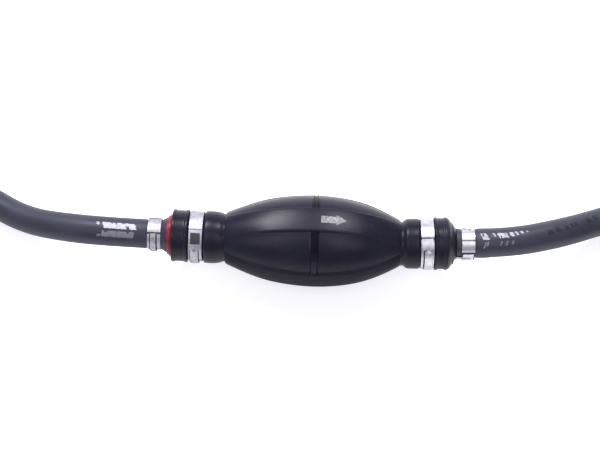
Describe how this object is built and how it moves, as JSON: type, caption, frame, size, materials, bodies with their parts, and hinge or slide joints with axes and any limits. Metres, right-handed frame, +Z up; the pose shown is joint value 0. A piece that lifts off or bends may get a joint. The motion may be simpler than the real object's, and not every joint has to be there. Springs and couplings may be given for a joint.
{
  "type": "siphon bulb pump",
  "caption": "Hand-squeezed rubber bulb with a check valve and a hose on each end, which starts a siphon or primes a fuel line.",
  "frame": {"origin": "on the floor under the middle of the bulb and its two valves, at the belly of the bulb", "axes": "+X along the bulb from inlet to outlet, +Z up, +Y to the side that both hoses bend towards"},
  "size_m": [0.792, 0.1275, 0.0528],
  "materials": {
    "bulb_rubber": "satin moulded black rubber",
    "hose_rubber": "smooth slate grey hose rubber",
    "seal_rubber": "matt black",
    "red_plastic": "moulded red plastic",
    "black_plastic": "moulded black plastic",
    "white_plastic": "natural acetal",
    "clamp_steel": "bright rolled band",
    "spring_steel": "drawn wire",
    "tie_fabric": "woven strap"
  },
  "bodies": {
    "pump": {"squeeze_bulb": "bulb_rubber", "inlet_valve_body": "red_plastic", "outlet_valve_body": "black_plastic", "inlet_bulb_clamp": "clamp_steel", "outlet_bulb_clamp": "clamp_steel", "inlet_hose_clamp": "clamp_steel", "outlet_hose_clamp": "clamp_steel", "inlet_seat_ring": "seal_rubber", "outlet_seat_ring": "seal_rubber", "inlet_spring": "spring_steel", "outlet_spring": "spring_steel", "inlet_spring_retainer": "white_plastic", "outlet_stem_guide": "white_plastic", "outlet_valve_seat": "white_plastic", "inlet_hose": "hose_rubber", "outlet_hose": "hose_rubber", "outlet_hose_hank": "hose_rubber", "outlet_hose_end": "hose_rubber", "hank_tie_front": "tie_fabric", "hank_tie_back": "tie_fabric"},
    "inlet_valve": {"inlet_poppet": "white_plastic"},
    "outlet_valve": {"outlet_poppet": "white_plastic"}
  },
  "joints": [
    {"name": "inlet_poppet_slide", "type": "slide", "parent": "pump", "child": "inlet_valve", "axis": [0.9998, -0.0209, 0], "range_m": [0, 0.0025], "stiffness_N_per_m": 60, "deforming": ["inlet_spring"]},
    {"name": "outlet_poppet_slide", "type": "slide", "parent": "pump", "child": "outlet_valve", "axis": [0.9992, 0.0401, 0], "range_m": [0, 0.0025], "stiffness_N_per_m": 60, "deforming": ["outlet_spring"]}
  ]
}
